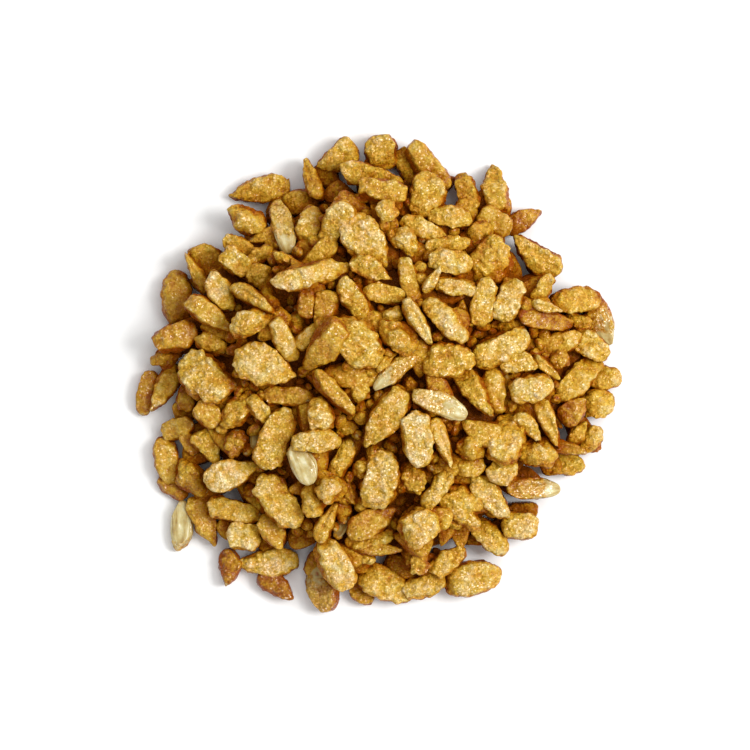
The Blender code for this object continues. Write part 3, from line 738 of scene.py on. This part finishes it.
def crust_tree():
    """Puts a form at each point and grows a crust on it. Heights and widths are in mm."""
    tree = bpy.data.node_groups.new("sugar_crust", "GeometryNodeTree")
    for name, kind in CRUST_INPUTS.items():
        tree.interface.new_socket(name, in_out="INPUT", socket_type=f"NodeSocket{kind}")
    tree.interface.new_socket("Crusted", in_out="OUTPUT", socket_type="NodeSocketGeometry")
    given = add_node(tree, "NodeGroupInput").outputs
    position = result(tree, "GeometryNodeInputPosition")
    # each seed has its own part of the noise, far from where it lies
    place = vector_sum(tree, scaled(tree, position, 1 / MM), read(tree, "chance", "FLOAT_VECTOR"))
    scale = calculate(tree, "DIVIDE", 1.0, given["Lump Width"])
    lump = around_zero(tree, cloudy(tree, place, scale, detail=1.5))
    knob = knobs(tree, place, given)
    coat = coat_cover(tree, place)
    crest = fitted(tree, knob, KNOB_CREST, calculate(tree, "MULTIPLY", lump, 1 - KNOB_CREST))

    instances = forms_in_place(tree, given)
    seeds = result(tree, "GeometryNodeRealizeInstances", [(0, instances)])
    for name, value in (("coat", coat), ("crest", crest)):
        inputs = [("Geometry", seeds), ("Name", name), ("Value", value)]
        seeds = result(tree, "GeometryNodeStoreNamedAttribute", inputs, domain="POINT")
    rise = calculate(tree, "MULTIPLY", crust_rise(tree, lump, knob, coat, given), MM)
    out = scaled(tree, result(tree, "GeometryNodeInputNormal"), rise)
    seeds = result(tree, "GeometryNodeSetPosition", [("Geometry", seeds), ("Offset", out)])
    # what reaches below the table is pressed flat on it
    east, north, up = add_node(tree, "ShaderNodeSeparateXYZ", [(0, position)]).outputs
    inputs = [(0, east), (1, north), (2, calculate(tree, "MAXIMUM", up, 0.0))]
    flat = result(tree, "ShaderNodeCombineXYZ", inputs)
    seeds = result(tree, "GeometryNodeSetPosition", [("Geometry", seeds), ("Position", flat)])
    seeds = result(tree, "GeometryNodeSetShadeSmooth", [("Geometry", seeds)])
    inputs = [("Geometry", seeds), ("Material", given["Material"])]
    seeds = result(tree, "GeometryNodeSetMaterial", inputs)
    add_node(tree, "NodeGroupOutput", [(0, seeds)])
    return tree


TONE_SPREAD = 0.055  # by which a seed's tone strays from its look's
NOISE_REACH = 90  # mm, how far away a seed's part of the crust's noise can be


def points_object(name, seeds, chance):
    """One point for each seed, with what the crust's tree reads from it."""
    mesh = bpy.data.meshes.new(name)
    mesh.from_pydata([[MM * part for part in seed.middle] for seed in seeds], [], [])
    turns = [seed.turn.to_euler() for seed in seeds]
    half_sizes = [[0.5 * MM * side for side in seed.size] for seed in seeds]
    looks = [seed.look for seed in seeds]
    half = FORM_COUNT // 2
    forms = [chance.integers(half) + half * look.oval for look in looks]
    tones = [look.tone + chance.normal(0, TONE_SPREAD) for look in looks]
    offsets = chance.uniform(-NOISE_REACH, NOISE_REACH, (len(seeds), 3))
    for vectors, values in (("turn", turns), ("half_size", half_sizes), ("chance", offsets)):
        add_attribute(mesh, vectors, values, "FLOAT_VECTOR")
    add_attribute(mesh, "form", forms, "INT")
    add_attribute(mesh, "tone", np.clip(tones, 0, 1))
    add_attribute(mesh, "bare", [look.bare for look in looks])
    return new_object(name, mesh)


def grow(name, seeds, inputs, tree, chance):
    """Makes one piece of these seeds: their forms in place, with a crust, as a plain mesh."""
    obj = points_object(name, seeds, chance)
    crust = obj.modifiers.new("crust", "NODES")
    crust.node_group = tree
    sockets = {socket.name: socket.identifier for socket in tree.interface.items_tree}
    for socket, value in inputs.items():
        crust[sockets[socket]] = value
    evaluated = obj.evaluated_get(bpy.context.evaluated_depsgraph_get())
    mesh = bpy.data.meshes.new_from_object(evaluated)
    obj.modifiers.remove(crust)
    obj.data = mesh
    return obj


# ---- materials

CRUST_TONES = (  # from dark caramel to pale sugar, as linear colours
    (0.00, (0.260, 0.060, 0.001)),
    (0.25, (0.430, 0.180, 0.006)),
    (0.50, (0.575, 0.315, 0.028)),
    (0.75, (0.680, 0.460, 0.190)),
    (1.00, (0.840, 0.710, 0.520)),
)
SKIN_TONES = (  # bare kernels, from the shade between the ribs to the lightest skin
    (0.0, (0.300, 0.165, 0.030)),
    (0.4, (0.480, 0.360, 0.130)),
    (0.7, (0.600, 0.510, 0.250)),
    (1.0, (0.790, 0.740, 0.520)),
)
RUSSET = (1.00, 0.90, 0.92, 1)  # the tint of the crust along rims
STRAW = (0.98, 1.10, 1.05, 1)  # and on flat faces
PAINTED_GLINT = (0.930, 0.800, 0.620, 1)  # painted glints: single grains that catch the light
GAP_SHADE = (0.090, 0.018, 0.002, 1)  # painted shade: the near-black caramel colour between the seeds, where the heap hides the sky
GAP_SHADE_SPAN = (0.62, 1.15)  # the hidden share of the sky over which that painted shade comes up

PATCH = 2.6  # mm, the width of a patch of one tone
STRAW_PATCH = 2.2  # mm
PAINTED_GLINT_PATCH = 1.7  # mm, of a patch with many painted glints
SKIN_PATCH = 1.4  # mm, on a bare kernel
CRUMBLE = 1.1  # mm, the width of the crust's finer lumps
PEBBLE = 0.80  # mm, the width of a lump of grains
GRAIN = 0.42  # mm, the width of a grain of sugar
FINE_GRAIN = 0.30  # mm
PAINTED_GLINT_SPAN = (0.88, 1.0)  # the chances over which a fine grain becomes a painted glint
GLINT_SPAN = (0.72, 0.82)  # and those over which its surface becomes a glint
GLINT_ROUGHNESS = 0.16
FACET_TILT = 0.28  # how much a grain's face turns, from one side to the other, over its normal
GAP_SPAN = (0.1, 0.6)  # the hidden share of the sky over which the gloss fades
GAP_GLOSS = 0.03
BARE_BUMP = 0.15  # the shares of bump and tilt that are left on bare skin
BARE_TILT = 0.2
RIBS_ALONG = 1.2  # how quickly a bare kernel's ribs change along it, and around it
RIBS_AROUND = 3.2
GLOW = {  # light that shines through the sugar
    "Subsurface Weight": 0.06,
    "Subsurface Radius": (1.0, 0.5, 0.2),
    "Subsurface Scale": 0.6 * MM,
}

# place: in mm. crumble and pebbles: heights around 0. The rest is what grains() gives, twice.
Sugar = namedtuple("Sugar", "place crumble pebbles distance grain fine_distance fine")


def attribute_of(tree, name):
    """A named attribute, in a shader tree."""
    return add_node(tree, "ShaderNodeAttribute", attribute_name=name).outputs["Fac"]


def ramp(tree, tones, factor):
    node = add_node(tree, "ShaderNodeValToRGB", [("Fac", factor)])
    stops = node.color_ramp.elements
    while len(stops) < len(tones):
        stops.new(0.5)
    for stop, (position, colour) in zip(stops, tones):
        stop.position = position
        stop.color = (*colour, 1)
    return node.outputs["Color"]


def patches(tree, place, width, detail=2.0):
    """Noise around 0, from about -1 to 1, whose features are this many mm wide."""
    return around_zero(tree, cloudy(tree, place, 1 / width, detail))


def grains(tree, place, width):
    """How far each place is from the middle of its grain of sugar, and a random colour for that."""
    node = add_node(tree, "ShaderNodeTexVoronoi", [("Vector", place), ("Scale", 1 / width)])
    return node.outputs["Distance"], node.outputs["Color"]


def one_of(tree, colour):
    """A chance from 0 to 1, from a random colour."""
    return result(tree, "ShaderNodeSeparateColor", [(0, colour)])


def sugar_pattern(tree):
    """Small lumps, pebbles and grains of sugar, which colour and bump share."""
    place = scaled(tree, add_node(tree, "ShaderNodeTexCoord").outputs["Object"], 1 / MM)
    crumble = patches(tree, place, CRUMBLE, detail=2.5)
    away = soft_cells(tree, place, 1 / PEBBLE, softness=0.25)
    pebbles = fitted(tree, away, -3.0, 1.2)  # heights around 0, highest in the middle
    coarse = grains(tree, place, GRAIN)
    return Sugar(place, crumble, pebbles, *coarse, *grains(tree, place, FINE_GRAIN))


def crust_colour(tree, sugar, hidden, speckle):
    """Caramel to sugar, by the seed's own tone, its crests and pits, patches and single grains, with
    painted shade in the gaps and on the flanks and painted glints.
    """
    # the rim's darkening is painted shade on the seeds' flanks, partly also their browner caramel; it
    # levels off at the waist
    rim = attribute_of(tree, "rim")
    rim = calculate(tree, "MULTIPLY", rim, fitted(tree, rim, -0.80, 1.40))
    tone = attribute_of(tree, "tone")
    for shade, weight in (
        # crests, crumbles and pebbles make raised places paler and low places darker: partly sugar and
        # caramel, partly painted highlight and shade on the relief
        (attribute_of(tree, "crest"), 0.14),
        (patches(tree, sugar.place, PATCH), 0.13),
        (sugar.crumble, 0.05),
        (sugar.pebbles, 0.03),
        (one_of(tree, sugar.grain), 0.20),
        (rim, -0.36),
        # painted shade: the crust is darker where the heap hides the sky from it
        (hidden, -0.66),
    ):
        tone = fitted(tree, shade, weight, tone)
    # patches of straw, more of it than of russet, but none along rims
    straw = fitted(tree, patches(tree, sugar.place, STRAW_PATCH), 0.55, 0.66)
    straw = fitted(tree, rim, -1.1, straw)
    straw = result(tree, "ShaderNodeClamp", [(0, straw)])
    inputs = [(0, ramp(tree, CRUST_TONES, tone)), (1, mixed(tree, straw, RUSSET, STRAW))]
    colour = result(tree, "ShaderNodeVectorMath", inputs, operation="MULTIPLY")

    # a few fine grains are much brighter, partly paler sugar and partly painted glints, and all are
    # darker away from their middles
    chance = one_of(tree, sugar.fine)
    bright = calculate(tree, "MULTIPLY", calculate(tree, "POWER", chance, 3.0), 0.9)
    bright = fitted(tree, sugar.fine_distance, -0.60, bright)
    colour = scaled(tree, colour, fitted(tree, bright, speckle, 1.0))
    # painted glints lie more on some patches, and not in gaps
    glint_patches = fitted(tree, hidden, -8.0, patches(tree, sugar.place, PAINTED_GLINT_PATCH))
    # speckle also sets how strong the painted glints are
    painted_glint = ramped(tree, fitted(tree, glint_patches, 0.10, chance), PAINTED_GLINT_SPAN, (0.0, speckle))
    return mixed(tree, painted_glint, colour, PAINTED_GLINT)


def skin_colour(tree, sugar, hidden):
    """The ribbed skin of a bare kernel."""
    inputs = [
        (0, calculate(tree, "MULTIPLY", attribute_of(tree, "along"), RIBS_ALONG)),
        (1, calculate(tree, "MULTIPLY", attribute_of(tree, "around"), RIBS_AROUND)),
        (2, attribute_of(tree, "tone")),
    ]
    place = result(tree, "ShaderNodeCombineXYZ", inputs)
    tone = fitted(tree, patches(tree, place, 1.0, detail=3.0), 0.50, 0.50)
    tone = fitted(tree, patches(tree, sugar.place, SKIN_PATCH), 0.14, tone)
    # painted shade: the skin is darker where the heap hides the sky from it
    tone = fitted(tree, hidden, -0.7, tone)
    return ramp(tree, SKIN_TONES, tone)


def facets(tree, grain_colour, tilt):
    """A small turn of the surface for each grain of sugar, so that each catches light by itself."""
    return scaled(tree, vector_sum(tree, grain_colour, (-0.5, -0.5, -0.5)), tilt)


def grained_normal(tree, sugar, coat, depth):
    """The surface's normal, with bumps of this depth in mm and a facet for each grain."""
    relief = calculate(tree, "MULTIPLY", sugar.distance, -0.5)
    relief = fitted(tree, sugar.pebbles, 0.45, relief)
    relief = fitted(tree, sugar.crumble, 0.95, relief)
    relief = calculate(tree, "MULTIPLY", relief, fitted(tree, coat, 1 - BARE_BUMP, BARE_BUMP))
    inputs = [("Height", relief), ("Distance", depth * MM), ("Strength", 1.0)]
    normal = result(tree, "ShaderNodeBump", inputs)
    tilt = fitted(tree, coat, (1 - BARE_TILT) * FACET_TILT, BARE_TILT * FACET_TILT)
    normal = vector_sum(tree, normal, facets(tree, sugar.grain, tilt))
    normal = vector_sum(tree, normal, facets(tree, sugar.fine, tilt))
    return result(tree, "ShaderNodeVectorMath", [(0, normal)], operation="NORMALIZE")


def crust_material(name, crust):
    """Sugar crust, and the kernel's own skin where there is none."""
    material = bpy.data.materials.new(name)
    material.use_nodes = True
    tree = material.node_tree
    sugar = sugar_pattern(tree)
    coat = attribute_of(tree, "coat")
    hidden = attribute_of(tree, "hidden")
    skin = skin_colour(tree, sugar, hidden)
    colour = mixed(tree, coat, skin, crust_colour(tree, sugar, hidden, crust.speckle))
    # painted shade: deep in the gaps the colour goes to near-black caramel
    gap_shade = ramped(tree, hidden, GAP_SHADE_SPAN, kind="SMOOTHSTEP")
    glint = ramped(tree, one_of(tree, sugar.fine), GLINT_SPAN)
    gloss = ramped(tree, hidden, GAP_SPAN, (crust.gloss, GAP_GLOSS))
    gloss = calculate(tree, "MULTIPLY", gloss, fitted(tree, glint, 1.6, 0.7))
    looks = {
        "Base Color": mixed(tree, gap_shade, colour, GAP_SHADE),
        "Normal": grained_normal(tree, sugar, coat, crust.grain),
        "Roughness": fitted(tree, glint, GLINT_ROUGHNESS - crust.roughness, crust.roughness),
        "Specular IOR Level": gloss,
        **GLOW,
    }
    shader = tree.nodes["Principled BSDF"]
    for socket, value in looks.items():
        wire(tree, shader.inputs[socket], value)
    return material


# ---- the pieces

# form: which function makes it. cuts: how finely. lump and knob: heights of the crust's
# relief, in mm. roughness and gloss: of the whole crust. speckle: how much single grains differ
# in colour. grain: the depth of its bumps, in mm. slot: a finish's name, which nothing here uses.
Crust = namedtuple(
    "Crust", "form cuts lump knob roughness gloss speckle grain slot", defaults=["sugar_crust"]
)
PIECES = {
    "golden_seeds": Crust(kernel, FINE, 0.34, 0.24, 0.40, 0.25, 0.50, 0.14),
    "sugared_seeds": Crust(kernel, FINE, 0.34, 0.26, 0.42, 0.25, 0.55, 0.15),
    "amber_seeds": Crust(kernel, FINE, 0.30, 0.16, 0.28, 0.35, 0.35, 0.10, "toasted_crust"),
    "broad_seeds": Crust(kernel, CLUMP_CUTS, 0.42, 0.26, 0.40, 0.25, 0.55, 0.14),
    "seeds_on_edge": Crust(kernel_on_edge, FINE, 0.20, 0.16, 0.34, 0.30, 0.45, 0.12),
    "seed_nuggets": Crust(nugget, NUGGET_CUTS, 0.32, 0.32, 0.34, 0.30, 0.50, 0.15),
    "seed_clumps": Crust(clump, CLUMP_CUTS, 0.40, 0.28, 0.40, 0.25, 0.50, 0.14),
    "bare_kernels": Crust(bare_kernel, FINE, 0.22, 0.14, 0.22, 0.70, 0.50, 0.14, "bare_kernel"),
    "sugar_crumbs": Crust(nugget, COARSE, 0.12, 0.0, 0.34, 0.30, 0.50, 0.14),
}
BED_CRUST = Crust(kernel, COARSE, 0.18, 0.0, 0.40, 0.25, 0.40, 0.16, "toasted_crust")
CORE_CRUST = Crust(kernel, COARSE, 0.0, 0.0, 0.50, 0.10, 0.40, 0.20, "toasted_crust")
LUMP_WIDTH = 2.3  # mm
KNOB_WIDTH = 1.25  # mm
COAT_THICKNESS = 0.18  # mm, how much thinner a seed is where it has no sugar
SKY_DIRECTIONS = 10
SKY_STEPS = (0.9, 1.6, 2.6, 4.2, 7.0)  # mm from a point, where the heap may hide its sky


def make_piece(name, seeds, crust, tree, chance):
    """One piece of the heap: these seeds, each with its own form, and their crust."""
    forms = form_collection(crust.form, crust.cuts)
    inputs = {
        "Forms": forms,
        "Material": crust_material(name, crust),
        "Lump Height": crust.lump,
        "Lump Width": LUMP_WIDTH,
        "Knob Height": crust.knob,
        "Knob Width": KNOB_WIDTH,
        "Coat Thickness": COAT_THICKNESS,
    }
    piece = grow(name, seeds, inputs, tree, chance)
    for form in list(forms.objects):
        bpy.data.objects.remove(form)
    bpy.data.collections.remove(forms)
    stay_in_box(piece)
    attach(piece, "root")
    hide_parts(HEAP_NODE)
    return piece


def points_of(piece):
    points = np.empty(3 * len(piece.data.vertices), np.float32)
    piece.data.vertices.foreach_get("co", points)
    return points.reshape(-1, 3)


def stay_in_box(piece):
    """Presses the few points that stand proud of the solid's box back to its sides."""
    low, high = (np.array(corner) for corner in cad_box)
    piece.data.vertices.foreach_set("co", np.clip(points_of(piece), low, high).ravel())
    piece.data.update()


def raised(surface, pieces):
    """A grid of heights, raised to the pieces' own points where they stand above it."""
    surface = surface.copy()
    for piece in pieces:
        east, north, height = points_of(piece).T / MM
        np.maximum.at(surface, cells_of(east, north), height)
    return surface


def store_hidden(piece, surface):
    """Marks how much of the sky the heap hides from each point: 0 for none of it, 1 for all. The
    materials paint shade from it.
    """
    east, north, height = points_of(piece).T / MM
    hidden = np.zeros(len(height))
    for number in range(SKY_DIRECTIONS):
        angle = 2 * math.pi * number / SKY_DIRECTIONS
        steepest = np.zeros(len(height))
        for away in SKY_STEPS:
            there = cells_of(east + away * math.cos(angle), north + away * math.sin(angle))
            steepest = np.maximum(steepest, (surface[there] - height) / away)
        hidden += steepest**2 / (1 + steepest**2) / SKY_DIRECTIONS
    add_attribute(piece.data, "hidden", hidden)


# The core: the heap's own surface, evened out and lowered, which closes the view between seeds
CORE_COVER = 3.2  # mm of seed above the core
CORE_LOWEST = 0.3  # mm above the table, at its edge
CORE_SHARE = 0.87  # how far it reaches, of the bed's reach
CORE_SIDES = 96
CORE_RINGS = 36
# the core's tone is lower than that of the seeds above it: painted shade under them, which the painted
# gap shade deepens
CORE_MARKS = {"tone": 0.3, "coat": 1.0, "crest": 0.0, "rim": 0.0}  # what its material reads


def core_piece(heap_height):
    """The core's dome, from its foot on the table through rings that close in to its crown."""
    height_at = np.clip(evened_out(heap_height) - CORE_COVER, CORE_LOWEST, None)
    shape = bmesh.new()
    rings = []
    for ring in range(-1, CORE_RINGS):
        share = CORE_SHARE * (1 - max(ring, 0) / CORE_RINGS)
        row = []
        for side in range(CORE_SIDES):
            angle = side * 360 / CORE_SIDES
            east, north = toward(angle, share * edge_of_bed(angle))
            height = 0 if ring < 0 else height_at[cells_of(east, north)]
            row.append(shape.verts.new((MM * east, MM * north, MM * height)))
        rings.append(row)
    shape.faces.new(rings[0])
    for lower, upper in zip(rings, rings[1:]):
        for side in range(CORE_SIDES):
            shape.faces.new((lower[side - 1], lower[side], upper[side], upper[side - 1]))
    shape.faces.new(rings[-1])
    bmesh.ops.recalc_face_normals(shape, faces=shape.faces)
    mesh = bpy.data.meshes.new("heap_core")
    shape.to_mesh(mesh)
    shape.free()
    core = new_object("heap_core", mesh)
    for name, value in CORE_MARKS.items():
        add_attribute(mesh, name, np.full(len(mesh.vertices), value))
    mesh.materials.append(crust_material("heap_core", CORE_CRUST))
    mesh.shade_smooth()
    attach(core, "root")
    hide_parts(HEAP_NODE)
    return core


# ---- stage, light and camera

FLOOR_HALF = 6.0  # m
FLOOR_DROP = 0.05  # mm under the heap
FLOOR_COLOUR = (0.95, 0.95, 0.94, 1)
FLOOR_ROUGHNESS = 0.8
WORLD_COLOUR = (1.0, 1.0, 1.0, 1)
WORLD_STRENGTH = 0.52
LIGHT_DISTANCE = 1.0  # m
# name, direction in degrees from east, degrees above the floor, side in m, watts
STUDIO_LIGHTS = (
    ("east_window", 5, 45, 0.45, 8.2),
    ("north_panel", 100, 45, 0.5, 1.2),
    ("south_panel", 265, 45, 0.5, 1.0),
    ("high_window", 35, 62, 0.5, 2.0),
)


def floor_material():
    material = bpy.data.materials.new("floor_white")
    material.use_nodes = True
    shader = material.node_tree.nodes["Principled BSDF"]
    shader.inputs["Base Color"].default_value = FLOOR_COLOUR
    shader.inputs["Roughness"].default_value = FLOOR_ROUGHNESS
    return material


def floor():
    mesh = bpy.data.meshes.new("floor")
    corners = ((-1, -1), (1, -1), (1, 1), (-1, 1))
    places = [(x * FLOOR_HALF, y * FLOOR_HALF, -FLOOR_DROP * MM) for x, y in corners]
    mesh.from_pydata(places, [], [(0, 1, 2, 3)])
    mesh.materials.append(floor_material())
    new_object("floor", mesh)


def area_light(name, direction, elevation, side, watts):
    """A square light in this direction from the heap, turned to face it."""
    data = bpy.data.lights.new(name, "AREA")
    data.size = side
    data.energy = watts
    light = new_object(name, data)
    raise_up = Matrix.Rotation(-math.radians(elevation), 3, "Y")
    turn = Matrix.Rotation(math.radians(direction), 3, "Z")
    light.location = turn @ raise_up @ Vector((LIGHT_DISTANCE, 0, 0))
    light.rotation_euler = light.location.to_track_quat("Z", "Y").to_euler()


def studio():
    """A white world and the lights."""
    world = bpy.data.worlds.new("studio")
    world.use_nodes = True
    background = world.node_tree.nodes["Background"]
    background.inputs["Color"].default_value = WORLD_COLOUR
    background.inputs["Strength"].default_value = WORLD_STRENGTH
    bpy.context.scene.world = world
    for light in STUDIO_LIGHTS:
        area_light(*light)


def camera():
    """The camera, which looks straight down."""
    data = bpy.data.cameras.new("camera")
    data.sensor_width = SENSOR_WIDTH
    data.lens = SENSOR_WIDTH * (CAMERA_HEIGHT - VIEW_CENTRE[2]) / VIEW_WIDTH
    data.clip_end = CAMERA_REACH
    obj = new_object("camera", data)
    obj.location = (MM * VIEW_CENTRE[0], MM * VIEW_CENTRE[1], MM * CAMERA_HEIGHT)
    bpy.context.scene.camera = obj


# ---- the whole


def main():
    camera()
    floor()
    studio()
    bpy.context.scene.view_settings.view_transform = "Standard"
    bed, top, heap_height = lay_seeds()
    chance = np.random.default_rng(CHANCE_SEED)
    tree = crust_tree()
    pieces = [make_piece("bed_seeds", bed, BED_CRUST, tree, chance)]
    top += crumbs(raised(heap_height, pieces))
    for name, crust in PIECES.items():
        seeds = [seed for seed in top if seed.look.piece == name]
        pieces.append(make_piece(name, seeds, crust, tree, chance))
    surface = raised(heap_height, pieces)
    for piece in [*pieces, core_piece(heap_height)]:
        store_hidden(piece, surface)


main()
